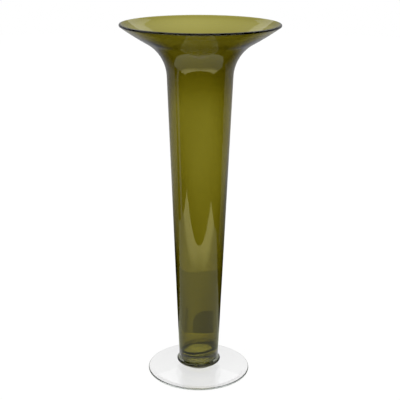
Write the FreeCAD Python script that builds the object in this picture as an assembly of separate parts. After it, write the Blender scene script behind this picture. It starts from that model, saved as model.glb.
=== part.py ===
import FreeCAD, Part
import math
import os

# Trumpet vase of blown glass, in millimetres, +Z up.
# The origin is the centre of the table plane, under the middle of the foot.
# Each piece is a half outline in the XZ plane, turned about the Z axis.
# A lean is the angle between the wall and the vertical, positive towards the mouth.

# Whole vase
overall_height = 500.0
rim_radius = 107.7

# Trumpet body, outside
trunk_foot_radius = 27.9
trunk_top_radius = 44.8
mouth_depth = 70.0
throat_radius = 53.8
flare_lean = math.radians(60.3)
heel_height = 6.0
heel_inset = 1.2

# Trumpet body, inside
trunk_foot_wall = 3.6
trunk_top_wall = 2.6
rim_wall = 3.3
base_thickness = 11.5
cavity_corner_radius = 7.0

# The wall swells inwards around the throat and is thinner in the flare, up to the lip
throat_swelling = 1.15
throat_swelling_rise = 6.0
throat_swelling_reach = 31.0
flare_thinning = 0.65
flare_thinning_drop = 9.0
flare_thinning_reach = 14.0
lip_blend = 3.0

# Merese, the wafer between body and foot
merese_radius = 31.2
merese_thickness = 4.5

# Foot
foot_radius = 73.1
foot_height = 13.0
boss_radius = 19.0
foot_edge_thickness = 3.0
foot_cone_slope = math.radians(6.5)
standing_ring_width = 8.0
underside_rise = 2.0

full_turn = 360.0
upright = FreeCAD.Vector(0, 0, 1)
level = FreeCAD.Vector(1, 0, 0)


def at(radius, height):
    """A point of a half outline."""
    return FreeCAD.Vector(radius, 0.0, height)


def leaning(lean):
    """The upward direction with this lean."""
    return FreeCAD.Vector(math.sin(lean), 0.0, math.cos(lean))


def outwards(lean):
    """The direction square to a wall with this lean, away from the cavity."""
    return FreeCAD.Vector(math.cos(lean), 0.0, -math.sin(lean))


def straight(start, end):
    return Part.LineSegment(start, end).toShape()


def round_edge(start, middle, end):
    return Part.Arc(start, middle, end).toShape()


def tangent_arc(start, direction, end):
    """The arc that leaves start along direction and runs to end."""
    chord = end - start
    unit = chord / chord.Length
    turn_cosine = direction.dot(unit)
    sideways = direction - unit * turn_cosine
    rise = sideways * (chord.Length / (2 * (1 + turn_cosine)))
    return round_edge(start, start + chord / 2 + rise, end)


def bell(height, middle, reach):
    """1 at the middle height, fading to nothing about two reaches away."""
    return math.exp(-((height - middle) / reach) ** 2)


def smooth_curve(points, start_direction, end_direction):
    curve = Part.BSplineCurve()
    curve.interpolate(Points=points, InitialTangent=start_direction, FinalTangent=end_direction)
    return curve.toShape()


def turned(edges):
    """The solid swept by a closed half outline about the Z axis."""
    face = Part.Face(Part.Wire(edges))
    return face.revolve(at(0.0, 0.0), upright, full_turn)


def trumpet_body():
    bottom = foot_height + merese_thickness
    throat_height = overall_height - mouth_depth
    taper = (trunk_top_radius - trunk_foot_radius) / (throat_height - bottom)
    trunk_lean = math.atan(taper)

    # Outside, from the seat up to the end of the throat
    seat_edge = at(trunk_foot_radius - heel_inset, bottom)
    heel_top = at(trunk_foot_radius + heel_height * taper, bottom + heel_height)
    throat_start = at(trunk_top_radius, throat_height)
    throat_centre = throat_start + outwards(trunk_lean) * throat_radius
    throat_end = throat_centre - outwards(flare_lean) * throat_radius

    # The middle of the flare's wall is one arc that ends in the centre of the round lip
    lip_radius = rim_wall / 2
    lip_centre = at(rim_radius - lip_radius, overall_height - lip_radius)
    flare_chord = lip_centre - (throat_end - outwards(flare_lean) * lip_radius)
    lip_lean = 2 * math.atan2(flare_chord.x, flare_chord.z) - flare_lean
    lip_outer = lip_centre + outwards(lip_lean) * lip_radius
    lip_tip = lip_centre + leaning(lip_lean) * lip_radius
    lip_inner = lip_centre - outwards(lip_lean) * lip_radius

    # Inside: the trunk's wall thins upwards, so its inner side leans a little more
    inner_foot_radius = trunk_foot_radius - trunk_foot_wall
    inner_top = at(trunk_top_radius - trunk_top_wall, throat_height)
    inner_taper = (inner_top.x - inner_foot_radius) / (throat_height - bottom)
    inner_lean = math.atan(inner_taper)

    # Inside: the throat's arc meets the trunk and the thicker flare wall without a kink
    inner_throat_end = throat_end - outwards(flare_lean) * rim_wall
    reach = (inner_throat_end - inner_top).dot(outwards(inner_lean))
    inner_throat_radius = reach / (1 - math.cos(flare_lean - inner_lean))
    inner_turn = outwards(flare_lean) - outwards(inner_lean)
    inner_throat_start = inner_throat_end + inner_turn * inner_throat_radius

    # Inside: the plain wall, moved inwards by the swelling and down by the thinning
    swelling_height = throat_height + throat_swelling_rise
    thinning_height = overall_height - flare_thinning_drop
    plain_height = swelling_height - 2 * throat_swelling_reach
    plain_end = inner_throat_start - leaning(inner_lean) * (
        (inner_throat_start.z - plain_height) / math.cos(inner_lean))

    def uneven(point):
        inwards = throat_swelling * bell(point.z, swelling_height, throat_swelling_reach)
        lowered = flare_thinning * bell(point.z, thinning_height, flare_thinning_reach)
        blend = 1 - bell(point.z, lip_inner.z, lip_blend)
        return point - (level * inwards + upright * lowered) * blend

    trunk_points = straight(plain_end, inner_throat_start).discretize(7)
    throat_points = tangent_arc(inner_throat_start, leaning(inner_lean), inner_throat_end).discretize(11)
    flare_points = tangent_arc(inner_throat_end, leaning(flare_lean), lip_inner).discretize(17)
    between = trunk_points[1:] + throat_points[1:] + flare_points[1:-1]
    wall_points = [plain_end] + [uneven(point) for point in between] + [lip_inner]

    # Inside: the round corner between the cavity's wall and its floor
    floor = bottom + base_thickness
    corner_height = floor + cavity_corner_radius
    wall_radius = inner_foot_radius + (corner_height - bottom) * inner_taper
    corner_centre = at(wall_radius - cavity_corner_radius / math.cos(inner_lean), corner_height)
    corner_top = corner_centre + outwards(inner_lean) * cavity_corner_radius
    corner_bottom = at(corner_centre.x, floor)

    return turned([
        straight(at(0.0, bottom), seat_edge),
        tangent_arc(heel_top, leaning(trunk_lean) * -1, seat_edge),
        straight(heel_top, throat_start),
        tangent_arc(throat_start, leaning(trunk_lean), throat_end),
        tangent_arc(throat_end, leaning(flare_lean), lip_outer),
        round_edge(lip_outer, lip_tip, lip_inner),
        smooth_curve(wall_points, leaning(inner_lean), leaning(lip_lean)),
        straight(corner_top, plain_end),
        tangent_arc(corner_top, leaning(inner_lean) * -1, corner_bottom),
        straight(corner_bottom, at(0.0, floor)),
        straight(at(0.0, floor), at(0.0, bottom)),
    ])


def merese():
    bottom = foot_height
    top = foot_height + merese_thickness
    edge_radius = merese_thickness / 2
    flat_radius = merese_radius - edge_radius
    return turned([
        straight(at(0.0, bottom), at(flat_radius, bottom)),
        round_edge(
            at(flat_radius, bottom),
            at(merese_radius, bottom + edge_radius),
            at(flat_radius, top)),
        straight(at(flat_radius, top), at(0.0, top)),
        straight(at(0.0, top), at(0.0, bottom)),
    ])


def foot():
    # The boss is the narrow neck that the merese sits on
    boss_edge = at(boss_radius, foot_height)

    # The coned top runs from the round edge to the fillet under the boss
    edge_radius = foot_edge_thickness / 2
    edge_centre = at(foot_radius - edge_radius, edge_radius)
    cone_normal = leaning(foot_cone_slope)
    cone_start = edge_centre + cone_normal * edge_radius

    # The fillet leaves the boss straight down and meets the cone without a kink
    boss_rise = (boss_edge - cone_start).dot(cone_normal)
    fillet_radius = boss_rise / (1 - cone_normal.x)
    cone_end = boss_edge + (level - cone_normal) * fillet_radius

    ring_inner_radius = edge_centre.x - standing_ring_width
    return turned([
        straight(at(edge_centre.x, 0.0), at(ring_inner_radius, 0.0)),
        tangent_arc(at(0.0, underside_rise), level, at(ring_inner_radius, 0.0)),
        straight(at(0.0, underside_rise), at(0.0, foot_height)),
        straight(at(0.0, foot_height), boss_edge),
        tangent_arc(boss_edge, upright * -1, cone_end),
        straight(cone_end, cone_start),
        round_edge(cone_start, at(foot_radius, edge_radius), at(edge_centre.x, 0.0)),
    ])


def main():
    os.makedirs("parts", exist_ok=True)
    pieces = {"trumpet_body": trumpet_body(), "merese": merese(), "foot": foot()}
    for name, shape in pieces.items():
        shape.exportStep("parts/" + name + ".step")
        box = shape.optimalBoundingBox(False)
        print(name, "valid", shape.isValid(), "solids", len(shape.Solids))
        print("  volume", round(shape.Volume), "radius", round(box.XMax, 3))
        print("  height", round(box.ZMin, 3), "to", round(box.ZMax, 3))


main()
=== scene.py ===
import math

import bpy
from mathutils import Matrix, Vector


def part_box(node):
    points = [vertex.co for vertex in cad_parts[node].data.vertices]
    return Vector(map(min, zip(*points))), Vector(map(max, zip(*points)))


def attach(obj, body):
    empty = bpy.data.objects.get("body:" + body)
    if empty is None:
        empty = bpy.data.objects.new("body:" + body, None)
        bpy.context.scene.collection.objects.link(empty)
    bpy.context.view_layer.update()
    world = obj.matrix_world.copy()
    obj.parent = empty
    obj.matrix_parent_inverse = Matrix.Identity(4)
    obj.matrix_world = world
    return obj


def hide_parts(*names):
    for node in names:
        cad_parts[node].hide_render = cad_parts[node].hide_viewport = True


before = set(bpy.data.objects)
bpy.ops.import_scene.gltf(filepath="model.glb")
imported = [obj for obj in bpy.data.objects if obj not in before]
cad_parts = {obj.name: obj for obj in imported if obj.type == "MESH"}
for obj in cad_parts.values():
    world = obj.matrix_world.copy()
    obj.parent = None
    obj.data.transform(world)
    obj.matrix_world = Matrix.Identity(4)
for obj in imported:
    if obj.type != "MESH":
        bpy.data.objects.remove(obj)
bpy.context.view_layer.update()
mm = 0.001

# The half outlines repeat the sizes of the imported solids, where a node's box doesn't give them.
# A lean is the angle between the wall and the vertical, positive towards the mouth.
trunk_foot_radius = 27.9 * mm
trunk_top_radius = 44.8 * mm
mouth_depth = 70.0 * mm
throat_radius = 53.8 * mm
flare_lean = math.radians(60.3)
heel_height = 6.0 * mm
heel_inset = 1.2 * mm
trunk_foot_wall = 3.6 * mm
trunk_top_wall = 2.6 * mm
rim_wall = 3.3 * mm
base_thickness = 11.5 * mm
cavity_corner_radius = 7.0 * mm
throat_swelling = 1.15 * mm
throat_swelling_rise = 6.0 * mm
throat_swelling_reach = 31.0 * mm
flare_thinning = 0.65 * mm
flare_thinning_drop = 9.0 * mm
flare_thinning_reach = 14.0 * mm
lip_blend = 3.0 * mm
boss_radius = 19.0 * mm
foot_edge_thickness = 3.0 * mm
foot_cone_slope = math.radians(6.5)
standing_ring_width = 8.0 * mm
underside_rise = 2.0 * mm

# The unevenness of blown glass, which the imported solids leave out. The outside only gets smaller.
# A twist is the phase that a wave round the vase gains from the body's bottom to its top, in
# radians. The lip droops nowhere at its high angle, and most opposite it.
trunk_thinning = 0.18 * mm
trunk_thinning_height = 315.0 * mm
trunk_thinning_reach = 60.0 * mm
cavity_floor_tilt = math.tan(math.radians(9.0))
tilt_fade_height = 30.0 * mm
ovalness = 0.003
oval_twist = 3
lip_droop = 0.5 * mm
lip_droop_power = 4
lip_high_angle = 0.8
wall_wave = 0.12 * mm
wave_lobes = 3
wave_twist = 9
small_wave_share = 0.6
small_wave_lobes = 5
small_wave_twist = 14

# Neighbouring pieces are fused, so their meshes share a film of glass
fused_film = 0.05 * mm

# The thick bottom and the merese are colourless inside, under a skin of olive
core_side_skin = 3.0 * mm
core_floor_skin = 0.6 * mm
core_bottom_skin = 0.1 * mm
merese_core_radius = 26.5 * mm
merese_core_corner = 1.0 * mm
merese_core_skin = 0.4 * mm

# Glass: what each metre takes from red, green and blue
glass_ior = 1.52
olive_per_metre = (300.0, 325.0, 800.0)
wafer_per_metre = (205.0, 198.0, 235.0)
clear_per_metre = (2.0, 1.7, 1.9)

# Glass: how many cords and clouds of haze a metre has, and how strong they are at most
drawn_cords_per_metre = (22.0, 22.0, 3.0)
even_cords_per_metre = (25.0, 25.0, 25.0)
cord_tint = 0.965
cord_depth = 0.02 * mm
haze_per_metre = 35.0
haze_roughness = 0.02

# Meshes: stretches round the vase and along its outlines
segments = 256
arc_steps = 32
trunk_steps = 64
core_side_steps = 6
core_corner_steps = 6
short_steps = 4
on_the_axis = 1e-7
sharp_edge_angle = math.radians(35)


def box_of(node):
    """Bottom, top and radius of a CAD node."""
    low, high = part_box(node)
    return low.z, high.z, high.x


body_bottom, body_top, rim_radius = box_of("trumpet_body")
merese_bottom, merese_top, merese_radius = box_of("merese")
foot_bottom, foot_top, foot_radius = box_of("foot")

cavity_floor = body_bottom + base_thickness
core_bottom = body_bottom + core_bottom_skin
core_top = cavity_floor - core_floor_skin


# Half outlines: lists of points (radius, height)
def at(radius, height):
    return Vector((radius, height))


def leaning(lean):
    """The upward direction with this lean."""
    return Vector((math.sin(lean), math.cos(lean)))


def outwards(lean):
    """The direction square to a wall with this lean, away from the cavity."""
    return Vector((math.cos(lean), -math.sin(lean)))


def straight(start, end, steps=1):
    """The points after start on the straight line to end."""
    return [start.lerp(end, (k + 1) / steps) for k in range(steps)]


def tangent_arc(start, direction, end, steps=arc_steps):
    """The points after start on the arc that leaves start along direction and runs to end."""
    chord = end - start
    turn = math.atan2(direction.x * chord.y - direction.y * chord.x, direction.dot(chord))
    points = []
    for k in range(1, steps + 1):
        part = turn * k / steps
        heading = Matrix.Rotation(part, 2) @ direction
        points.append(start + heading * (chord.length * math.sin(part) / math.sin(turn)))
    return points


def bell(height, middle, reach):
    """1 at the middle height, fading to nothing about two reaches away."""
    return math.exp(-((height - middle) / reach) ** 2)


def body_outline():
    """The body's outline, its stretches in the joint under it, and its first point past the lip."""
    bottom = body_bottom
    throat_height = body_top - mouth_depth
    taper = (trunk_top_radius - trunk_foot_radius) / (throat_height - bottom)
    trunk_lean = math.atan(taper)

    # Outside, from the seat up to the end of the throat
    seat_edge = at(trunk_foot_radius - heel_inset, bottom)
    heel_top = at(trunk_foot_radius + heel_height * taper, bottom + heel_height)
    throat_start = at(trunk_top_radius, throat_height)
    throat_centre = throat_start + outwards(trunk_lean) * throat_radius
    throat_end = throat_centre - outwards(flare_lean) * throat_radius

    # The middle of the flare's wall is one arc that ends in the centre of the round lip
    lip_radius = rim_wall / 2
    lip_centre = at(rim_radius - lip_radius, body_top - lip_radius)
    flare_chord = lip_centre - (throat_end - outwards(flare_lean) * lip_radius)
    lip_lean = 2 * math.atan2(flare_chord.x, flare_chord.y) - flare_lean
    lip_outer = lip_centre + outwards(lip_lean) * lip_radius
    lip_inner = lip_centre - outwards(lip_lean) * lip_radius

    # Inside: the plain wall of the trunk and the throat
    inner_foot_radius = trunk_foot_radius - trunk_foot_wall
    inner_top = at(trunk_top_radius - trunk_top_wall, throat_height)
    inner_taper = (inner_top.x - inner_foot_radius) / (throat_height - bottom)
    inner_lean = math.atan(inner_taper)
    inner_throat_end = throat_end - outwards(flare_lean) * rim_wall
    reach = (inner_throat_end - inner_top).dot(outwards(inner_lean))
    inner_throat_radius = reach / (1 - math.cos(flare_lean - inner_lean))
    inner_turn = outwards(flare_lean) - outwards(inner_lean)
    inner_throat_start = inner_throat_end + inner_turn * inner_throat_radius

    # Inside: the plain wall is moved inwards by the swelling and down by the thinning
    swelling_height = throat_height + throat_swelling_rise
    thinning_height = body_top - flare_thinning_drop

    def uneven(point):
        inwards = throat_swelling * bell(point.y, swelling_height, throat_swelling_reach)
        lowered = flare_thinning * bell(point.y, thinning_height, flare_thinning_reach)
        blend = 1 - bell(point.y, lip_inner.y, lip_blend)
        return point - at(inwards, lowered) * blend

    # Inside: the round corner between the cavity's wall and its floor
    corner_height = cavity_floor + cavity_corner_radius
    wall_radius = inner_foot_radius + (corner_height - bottom) * inner_taper
    corner_centre = at(wall_radius - cavity_corner_radius / math.cos(inner_lean), corner_height)
    corner_top = corner_centre + outwards(inner_lean) * cavity_corner_radius
    corner_bottom = at(corner_centre.x, cavity_floor)

    heel = tangent_arc(heel_top, leaning(trunk_lean) * -1, seat_edge)
    outside = [at(0.0, bottom)] + straight(at(0.0, bottom), seat_edge, arc_steps)
    outside += heel[-2::-1] + [heel_top] + straight(heel_top, throat_start, trunk_steps)
    outside += tangent_arc(throat_start, leaning(trunk_lean), throat_end)
    outside += tangent_arc(throat_end, leaning(flare_lean), lip_outer)

    flare = tangent_arc(inner_throat_end, leaning(flare_lean), lip_inner)
    throat = tangent_arc(inner_throat_start, leaning(inner_lean), inner_throat_end)
    trunk = straight(inner_throat_start, corner_top, trunk_steps)
    plain_wall = flare[-2::-1] + throat[::-1] + [inner_throat_start] + trunk
    inside = tangent_arc(lip_outer, leaning(lip_lean), lip_inner)
    inside += [uneven(point) for point in plain_wall]
    inside += tangent_arc(corner_top, leaning(inner_lean) * -1, corner_bottom)
    inside += straight(corner_bottom, at(0.0, cavity_floor), arc_steps)
    return outside + inside, range(arc_steps), len(outside) + arc_steps + 1


def core_outline():
    """The closed space inside the thick bottom that holds no colour.

    It runs the other way round than the body's outline, as its glass is on the outside."""
    corner = heel_height / 2
    wide = trunk_foot_radius - core_side_skin
    flat = trunk_foot_radius - trunk_foot_wall - cavity_corner_radius
    bend = cavity_corner_radius + core_floor_skin
    shoulder = core_top + bend - math.sqrt(max(0.0, bend ** 2 - (wide - flat) ** 2))
    outline = [at(0.0, core_top)] + straight(at(0.0, core_top), at(flat, core_top), arc_steps)
    outline += tangent_arc(at(flat, core_top), at(1.0, 0.0), at(wide, shoulder))
    side_end = at(wide, core_bottom + corner)
    bottom_edge = at(wide - corner, core_bottom)
    outline += straight(at(wide, shoulder), side_end, core_side_steps)
    outline += tangent_arc(side_end, at(0.0, -1.0), bottom_edge)
    outline += straight(bottom_edge, at(0.0, core_bottom), arc_steps)
    return outline, range(len(outline))


def merese_outline():
    """The merese's outline, and its stretches in the two joints."""
    bottom = merese_bottom - fused_film
    top = merese_top + fused_film
    flat_radius = merese_radius - (merese_top - merese_bottom) / 2
    boss_edge = at(boss_radius, merese_bottom)
    bottom_edge = at(flat_radius, merese_bottom)
    top_edge = at(flat_radius, merese_top)
    outline = [at(0.0, bottom)]
    outline += straight(at(0.0, bottom), at(boss_radius - fused_film, bottom), arc_steps)
    outline += [boss_edge] + straight(boss_edge, bottom_edge, short_steps)
    outline += tangent_arc(bottom_edge, at(1.0, 0.0), top_edge)
    outline += straight(at(trunk_foot_radius - heel_inset, top), at(0.0, top), arc_steps)
    below, above = range(arc_steps), range(len(outline) - arc_steps, len(outline))
    return outline, [*below, *above]


def merese_core_outline():
    """The closed space inside the merese that holds no colour."""
    low, high = merese_bottom + merese_core_skin, merese_top - merese_core_skin
    wide = merese_core_radius
    flat = wide - merese_core_corner
    side_start = at(wide, high - merese_core_corner)
    side_end = at(wide, low + merese_core_corner)
    outline = [at(0.0, high)] + straight(at(0.0, high), at(flat, high), arc_steps)
    outline += tangent_arc(at(flat, high), at(1.0, 0.0), side_start, core_corner_steps)
    outline += straight(side_start, side_end, short_steps)
    outline += tangent_arc(side_end, at(0.0, -1.0), at(flat, low), core_corner_steps)
    outline += straight(at(flat, low), at(0.0, low), arc_steps)
    return outline, range(len(outline))


def foot_outline():
    """The foot's outline, and its stretches in the joint over it."""
    boss_edge = at(boss_radius, foot_top)
    edge_radius = foot_edge_thickness / 2
    edge_centre = at(foot_radius - edge_radius, edge_radius)
    cone_normal = leaning(foot_cone_slope)
    cone_start = edge_centre + cone_normal * edge_radius
    boss_rise = (boss_edge - cone_start).dot(cone_normal)
    fillet_radius = boss_rise / (1 - cone_normal.x)
    cone_end = boss_edge + (at(1.0, 0.0) - cone_normal) * fillet_radius
    ring_outer = at(edge_centre.x, foot_bottom)
    ring_inner = at(edge_centre.x - standing_ring_width, foot_bottom)
    hollow_top = at(0.0, foot_bottom + underside_rise)
    fillet = tangent_arc(boss_edge, at(0.0, -1.0), cone_end)

    outline = [hollow_top] + tangent_arc(hollow_top, at(1.0, 0.0), ring_inner)
    outline += straight(ring_inner, ring_outer, short_steps)
    outline += tangent_arc(ring_outer, at(1.0, 0.0), cone_start)
    outline += straight(cone_start, cone_end, arc_steps)
    outline += fillet[-2::-1] + [boss_edge]
    outline += straight(boss_edge, at(0.0, foot_top), arc_steps)
    return outline, range(len(outline) - arc_steps - 1, len(outline))


# Meshes
def turned(name, *shells):
    """A closed mesh of shells, each an outline turned about the Z axis.

    A shell is the outline, the numbers of its stretches that lie in a fused joint, and
    the function that puts its points. The mesh's in_air is 0 in a joint and 1 elsewhere."""
    points, faces, in_air = [], [], []
    for outline, fused, place in shells:
        add_turned(outline, fused, place, points, faces, in_air)
    mesh = bpy.data.meshes.new(name)
    mesh.from_pydata(points, [], faces)
    mesh.attributes.new("in_air", "FLOAT", "FACE").data.foreach_set("value", in_air)
    mesh.shade_smooth()
    mesh.set_sharp_from_angle(angle=sharp_edge_angle)
    piece = bpy.data.objects.new(name, mesh)
    bpy.context.scene.collection.objects.link(piece)
    return piece


def add_turned(outline, fused, place, points, faces, in_air):
    rings = []
    for index, spot in enumerate(outline):
        count = 1 if spot.x < on_the_axis else segments
        rings.append(list(range(len(points), len(points) + count)))
        for k in range(count):
            angle = 2 * math.pi * k / segments
            points.append(place(index, spot.x, spot.y, angle))
    for number, (lower, upper) in enumerate(zip(rings, rings[1:])):
        for k in range(segments):
            after = (k + 1) % segments
            corners = [lower[k % len(lower)], lower[after % len(lower)]]
            corners += [upper[after % len(upper)], upper[k % len(upper)]]
            faces.append(list(dict.fromkeys(corners)))
            in_air.append(0.0 if number in fused else 1.0)


def plain_place(index, radius, height, angle):
    return (radius * math.cos(angle), radius * math.sin(angle), height)


def floor_tilt(radius, height, angle, share=1.0):
    """How far the tilted cavity floor lifts this share of a point, fading out above the floor."""
    fade = math.exp(-max(0.0, height - cavity_floor) / tilt_fade_height)
    return cavity_floor_tilt * radius * math.cos(angle) * share * fade


def blown_place(inside_from):
    """Puts the body's points: a little oval, the lip drooping, uneven from inside_from on."""
    def place(index, radius, height, angle):
        share = (height - body_bottom) / (body_top - body_bottom)
        radius *= 1 - ovalness * (0.5 - 0.5 * math.cos(2 * angle + oval_twist * share)) * share
        droop = 0.5 - 0.5 * math.cos(angle - lip_high_angle)
        height -= lip_droop * share ** lip_droop_power * droop
        if index >= inside_from:
            radius += trunk_thinning * bell(height, trunk_thinning_height, trunk_thinning_reach)
            wave = math.sin(wave_lobes * angle + wave_twist * share)
            small_wave = math.sin(small_wave_lobes * angle - small_wave_twist * share)
            wave += small_wave_share * small_wave
            radius += wall_wave * wave * min(1.0, radius / trunk_foot_radius)
            height += floor_tilt(radius, height, angle)
        return plain_place(index, radius, height, angle)

    return place


def core_place(index, radius, height, angle):
    """Tilts the top of the colourless core with the cavity floor."""
    share = min(1.0, (height - core_bottom) / (core_top - core_bottom))
    height += floor_tilt(radius, height, angle, share)
    return plain_place(index, radius, height, angle)


# Materials
def node(tree, kind, **inputs):
    """A new node with these inputs set, by name with _ for a space."""
    made = tree.nodes.new(kind)
    for name, value in inputs.items():
        made.inputs[name.replace("_", " ")].default_value = value
    return made


def calculated(tree, operation, first, second):
    """The result of a Math node on first, an output, and second, an output or a number."""
    made = tree.nodes.new("ShaderNodeMath")
    made.operation = operation
    tree.links.new(first, made.inputs[0])
    if isinstance(second, float):
        made.inputs[1].default_value = second
    else:
        tree.links.new(second, made.inputs[1])
    return made.outputs["Value"]


def new_tree(owner):
    owner.use_nodes = True
    owner.node_tree.nodes.clear()
    return owner.node_tree


def blown_glass(name, per_metre, cords_per_metre):
    """Clear or coloured glass: faint cords in the metal, a soft waviness and a breath of haze.

    In a fused joint the glass doesn't bend light and has no haze."""
    material = bpy.data.materials.new(name)
    tree = new_tree(material)
    link = tree.links.new
    output = tree.nodes.new("ShaderNodeOutputMaterial")
    shader = node(tree, "ShaderNodeBsdfPrincipled", Transmission_Weight=1.0)
    in_air = tree.nodes.new("ShaderNodeAttribute")
    in_air.attribute_name = "in_air"
    bending = node(tree, "ShaderNodeMapRange", To_Min=1.0, To_Max=glass_ior)
    link(in_air.outputs["Fac"], bending.inputs["Value"])
    link(bending.outputs["Result"], shader.inputs["IOR"])
    density = max(per_metre)
    colour = [1 - taken / density for taken in per_metre]
    volume = node(tree, "ShaderNodeVolumeAbsorption", Color=(*colour, 1.0), Density=density)
    link(shader.outputs["BSDF"], output.inputs["Surface"])
    link(volume.outputs["Volume"], output.inputs["Volume"])

    place = tree.nodes.new("ShaderNodeTexCoord")
    stretched = node(tree, "ShaderNodeMapping", Scale=cords_per_metre)
    link(place.outputs["Object"], stretched.inputs["Vector"])

    cords = node(tree, "ShaderNodeTexNoise", Scale=1.0, Detail=2.0, Roughness=0.5)
    tint = node(tree, "ShaderNodeMapRange", To_Min=cord_tint, To_Max=1.0)
    link(stretched.outputs["Vector"], cords.inputs["Vector"])
    link(cords.outputs["Fac"], tint.inputs["Value"])
    link(tint.outputs["Result"], shader.inputs["Base Color"])

    haze = node(tree, "ShaderNodeTexNoise", Scale=haze_per_metre, Detail=4.0, Roughness=0.6)
    roughness = node(
        tree, "ShaderNodeMapRange", From_Min=0.5, From_Max=0.8, To_Min=0.0, To_Max=haze_roughness)
    link(place.outputs["Object"], haze.inputs["Vector"])
    link(haze.outputs["Fac"], roughness.inputs["Value"])
    haze_in_air = calculated(
        tree, "MULTIPLY", roughness.outputs["Result"], in_air.outputs["Fac"])
    link(haze_in_air, shader.inputs["Roughness"])

    bump = node(tree, "ShaderNodeBump", Strength=1.0, Distance=cord_depth)
    link(cords.outputs["Fac"], bump.inputs["Height"])
    link(bump.outputs["Normal"], shader.inputs["Normal"])
    return material


def finished(piece, material, cad_node):
    piece.data.materials.append(material)
    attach(piece, "root")
    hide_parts(cad_node)


def make_vase():
    olive = blown_glass("olive_glass", olive_per_metre, drawn_cords_per_metre)
    pale_olive = blown_glass("pale_olive_glass", wafer_per_metre, even_cords_per_metre)
    clear = blown_glass("clear_glass", clear_per_metre, even_cords_per_metre)
    outline, seat, inside_from = body_outline()
    body = turned(
        "trumpet_body_glass",
        (outline, seat, blown_place(inside_from)),
        (*core_outline(), core_place))
    finished(body, olive, "trumpet_body")
    merese = turned(
        "merese_glass",
        (*merese_outline(), plain_place),
        (*merese_core_outline(), plain_place))
    finished(merese, pale_olive, "merese")
    foot = turned("foot_glass", (*foot_outline(), plain_place))
    finished(foot, clear, "foot")


# Stage: behind the vase, the reflected table ends here and the band of painted shade, seen through
# the glass, starts
table_back = 0.115


def seen_rays(tree):
    """1 for camera, glossy and transmission rays, and 0 for the rest."""
    path = tree.nodes.new("ShaderNodeLightPath")
    camera, glossy = path.outputs["Is Camera Ray"], path.outputs["Is Glossy Ray"]
    either = calculated(tree, "MAXIMUM", camera, glossy)
    return calculated(tree, "MAXIMUM", either, path.outputs["Is Transmission Ray"])


def make_floor():
    floor_radius = 4.0
    floor_corners = 96
    floor_height = foot_bottom - 0.4 * mm
    floor_colour = (0.9, 0.9, 0.9, 1.0)
    seen_light = 1.04
    seen_share = 0.88
    bpy.ops.mesh.primitive_circle_add(
        vertices=floor_corners, radius=floor_radius, fill_type="NGON",
        location=(0, 0, floor_height))
    floor = bpy.context.object
    floor.name = "floor"
    material = bpy.data.materials.new("floor")
    tree = new_tree(material)
    output = tree.nodes.new("ShaderNodeOutputMaterial")
    matt = node(tree, "ShaderNodeBsdfDiffuse", Color=floor_colour)
    light = node(tree, "ShaderNodeEmission", Strength=seen_light)
    mix = tree.nodes.new("ShaderNodeMixShader")
    share = calculated(tree, "MULTIPLY", seen_rays(tree), seen_share)
    tree.links.new(share, mix.inputs["Fac"])
    tree.links.new(matt.outputs["BSDF"], mix.inputs[1])
    tree.links.new(light.outputs["Emission"], mix.inputs[2])
    tree.links.new(mix.outputs["Shader"], output.inputs["Surface"])
    floor.data.materials.append(material)


def make_world():
    unseen_light = 0.85
    seen_light = 1.0
    world = bpy.data.worlds.new("studio")
    bpy.context.scene.world = world
    tree = new_tree(world)
    output = tree.nodes.new("ShaderNodeOutputWorld")
    light = node(tree, "ShaderNodeBackground", Color=(1.0, 1.0, 1.0, 1.0))
    strength = node(tree, "ShaderNodeMapRange", To_Min=unseen_light, To_Max=seen_light)
    tree.links.new(seen_rays(tree), strength.inputs["Value"])
    tree.links.new(strength.outputs["Result"], light.inputs["Strength"])
    tree.links.new(light.outputs["Background"], output.inputs["Surface"])


def card(name, corners, rays, light, far=None):
    """A plain light or dark card, which only the named kind of ray meets.

    corners go in pairs along the card. light is its (red, green, blue), where 1 is white.
    far is (direction, near place, far place, far light), when the light changes along
    a direction. Without a direction it changes with the distance from the vase."""
    mesh = bpy.data.meshes.new(name)
    faces = [(k, k + 1, k + 3, k + 2) for k in range(0, len(corners) - 2, 2)]
    mesh.from_pydata(corners, [], faces)
    piece = bpy.data.objects.new(name, mesh)
    bpy.context.scene.collection.objects.link(piece)
    material = bpy.data.materials.new(name)
    tree = new_tree(material)
    output = tree.nodes.new("ShaderNodeOutputMaterial")
    shine = node(tree, "ShaderNodeEmission", Color=(*light, 1.0), Strength=1.0)
    if far:
        direction, near_place, far_place, far_light = far
        place = tree.nodes.new("ShaderNodeTexCoord")
        along = tree.nodes.new("ShaderNodeVectorMath")
        along.operation = "LENGTH"
        if direction:
            along.operation = "DOT_PRODUCT"
            along.inputs[1].default_value = direction
        ramp = node(tree, "ShaderNodeMapRange", From_Min=near_place, From_Max=far_place)

        # A Mix node has sockets for every kind of data. These are its factor and its colours
        mix = tree.nodes.new("ShaderNodeMix")
        mix.data_type = "RGBA"
        factor, near_colour, far_colour = mix.inputs[0], mix.inputs[6], mix.inputs[7]
        mixed_colour = mix.outputs[2]
        near_colour.default_value = (*light, 1.0)
        far_colour.default_value = (*far_light, 1.0)
        tree.links.new(place.outputs["Object"], along.inputs[0])
        tree.links.new(along.outputs["Value"], ramp.inputs["Value"])
        tree.links.new(ramp.outputs["Result"], factor)
        tree.links.new(mixed_colour, shine.inputs["Color"])
    tree.links.new(shine.outputs["Emission"], output.inputs["Surface"])
    mesh.materials.append(material)
    piece.visible_camera = False
    piece.visible_diffuse = False
    piece.visible_glossy = rays == "glossy"
    piece.visible_transmission = rays == "transmission"
    piece.visible_shadow = False
    piece.visible_volume_scatter = False


def grey(level):
    return (level, level, level)


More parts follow.
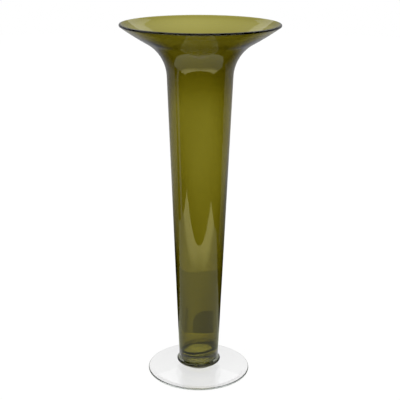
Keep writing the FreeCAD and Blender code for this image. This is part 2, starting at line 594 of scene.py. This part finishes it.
def flat_card(name, low, high, height, *look, **more):
    """A level card between its corners low and high, each (x, y)."""
    (x0, y0), (x1, y1) = low, high
    corners = [(x0, y0, height), (x1, y0, height), (x0, y1, height), (x1, y1, height)]
    card(name, corners, *look, **more)


def standing_card(name, azimuths, distance, heights, *look):
    """A curved card round the vase. Azimuth 0 is behind the camera and goes round to the right."""
    (start, end), (low, high) = azimuths, heights
    degrees_per_step = 6
    steps = max(1, round(abs(end - start) / degrees_per_step))
    corners = []
    for k in range(steps + 1):
        azimuth = math.radians(start + (end - start) * k / steps)
        x, y = math.sin(azimuth) * distance, -math.cos(azimuth) * distance
        corners += [(x, y, low), (x, y, high)]
    card(name, corners, *look)


def make_lamp(name, place, size, watts):
    aim = Vector((0, 0, 0.2))
    lamp = bpy.data.lights.new(name, "AREA")
    lamp.size = size
    lamp.energy = watts
    holder = bpy.data.objects.new(name, lamp)
    bpy.context.scene.collection.objects.link(holder)
    holder.location = place
    holder.rotation_euler = (aim - Vector(place)).to_track_quat("-Z", "Y").to_euler()
    holder.visible_camera = False
    holder.visible_transmission = False
    holder.visible_glossy = False


def make_reflected_room():
    """Painted reflections: the glowing and dark cards that only glossy rays meet stand for the dark
    room and the pale table that the glass reflects.

    The cards on the floor lie in thin layers over it, each above the one made before it."""
    dark = grey(0.0)
    half_room = 3.0
    room_floor_height = -0.3 * mm
    back_floor_height = -0.25 * mm
    flat_card("room_floor", (-half_room, -half_room), (half_room, half_room),
              room_floor_height, "glossy", dark)
    dark_up_to, light_from, back_floor_light = 0.45, 0.95, grey(0.42)
    flat_card("back_floor", (-half_room, table_back), (half_room, half_room),
              back_floor_height, "glossy", dark,
              far=(None, dark_up_to, light_from, back_floor_light))

    # The table's left and right halves, lighter towards their front corners: a painted pool of warm
    # light, seen only in reflections
    left, right, right_back = -0.62, 0.545, 0.25
    front, middle = -0.475, -0.05
    height = -0.2 * mm
    table_light, corner_light = (0.62, 0.67, 0.55), (2.25, 2.15, 1.1)
    brighter_from, brightest_from = 0.38, 0.47
    sideways = 0.35
    for side, edge, back_edge in ((-1, left, left), (1, right, right_back)):
        rows = ((edge, front), (edge, middle), (back_edge, table_back))
        corners = [(x, y, height) for outer, y in rows for x in (0, outer)]
        to_corner = (sideways * side, -1, 0)
        card("table", corners, "glossy", table_light,
             far=(to_corner, brighter_from, brightest_from, corner_light))

    # The walls round the vase, the ceiling over its back, and a strip of painted light at each
    # side, all painted reflections
    room_radius, back_wall_radius, ceiling_height = 2.5, 2.45, 2.5
    wall_top = 1.6
    pale = grey(0.35)
    standing_card("room_wall", (0, 360), room_radius, (-0.01, wall_top), "glossy", dark)
    standing_card("back_wall", (120, 240), back_wall_radius, (0.1, wall_top), "glossy", pale)
    flat_card("ceiling", (-1.15, 0.2), (1.05, 2.4), ceiling_height, "glossy", pale)
    strip_distance = 0.5
    strip_heights = (0.0, 0.9)
    standing_card("left_strip", (-86, -77), strip_distance, strip_heights, "glossy", grey(0.5))
    standing_card("right_strip", (98, 103), strip_distance, strip_heights, "glossy", grey(0.3))


def make_refracted_table():
    """Painted shade and light behind the vase, seen only through the glass: a grey band of painted
    shade, a dark patch, a grey patch and a painted highlight along the table's back edge.

    A row of the dark patch is its left, its right and how far back it is."""
    shade_band_height = -0.15 * mm
    seen_card_height = -0.1 * mm
    half_shade_band, shade_band_back = 0.9, 0.377
    # A grey band of painted shade across the floor behind the vase, seen only through the glass
    flat_card("painted_shade_band", (-half_shade_band, table_back), (half_shade_band, shade_band_back),
              shade_band_height, "transmission", grey(0.7))
    # A dark patch on the floor behind the vase, seen only through the glass
    dark_patch_rows = ((-0.0125, 0.040, table_back), (-0.0125, 0.041, 0.165),
                 (-0.003, 0.042, 0.185), (0.015, 0.043, 0.2))
    corners = [(x, y, seen_card_height) for left, right, y in dark_patch_rows for x in (left, right)]
    card("dark_patch_behind", corners, "transmission", grey(0.33))
    # A grey patch on the floor left of the dark patch, seen only through the glass
    flat_card("left_grey_patch", (-0.048, table_back), (-0.034, 0.21),
              seen_card_height, "transmission", grey(0.45))
    # A painted highlight: a strip brighter than white along the table's back edge, seen only
    # through the glass
    flat_card("table_edge_highlight", (-0.04, table_back - 0.006), (0.02, table_back - 0.001),
              seen_card_height, "transmission", grey(1.3))


def make_camera():
    picture_pixels = 400
    lens_pixels = 926.1
    sideways_pixels = -0.57
    pitch = 0.2996
    roll = 0.005464
    yaw = sideways_pixels / lens_pixels
    camera_place = (0.0, -1.23207, 0.63722)
    data = bpy.data.cameras.new("camera")
    data.sensor_width = 36.0
    data.lens = lens_pixels / picture_pixels * data.sensor_width
    data.dof.use_dof = False
    camera = bpy.data.objects.new("camera", data)
    bpy.context.scene.collection.objects.link(camera)
    camera.location = camera_place
    turn = Matrix.Rotation(yaw, 4, "Z") @ Matrix.Rotation(math.pi / 2 - pitch, 4, "X")
    turn = turn @ Matrix.Rotation(roll, 4, "Z")
    camera.rotation_euler = turn.to_euler()
    bpy.context.scene.camera = camera


def set_look():
    scene = bpy.context.scene
    scene.view_settings.view_transform = "Standard"
    scene.cycles.max_bounces = 24
    scene.cycles.transmission_bounces = 24
    scene.cycles.glossy_bounces = 12


make_vase()
make_floor()
make_world()
make_reflected_room()
make_refracted_table()
make_lamp("key", (-1.2, -1.0, 2.2), size=1.2, watts=10.0)
make_lamp("fill", (1.4, -0.8, 1.6), size=1.5, watts=4.0)
make_camera()
set_look()
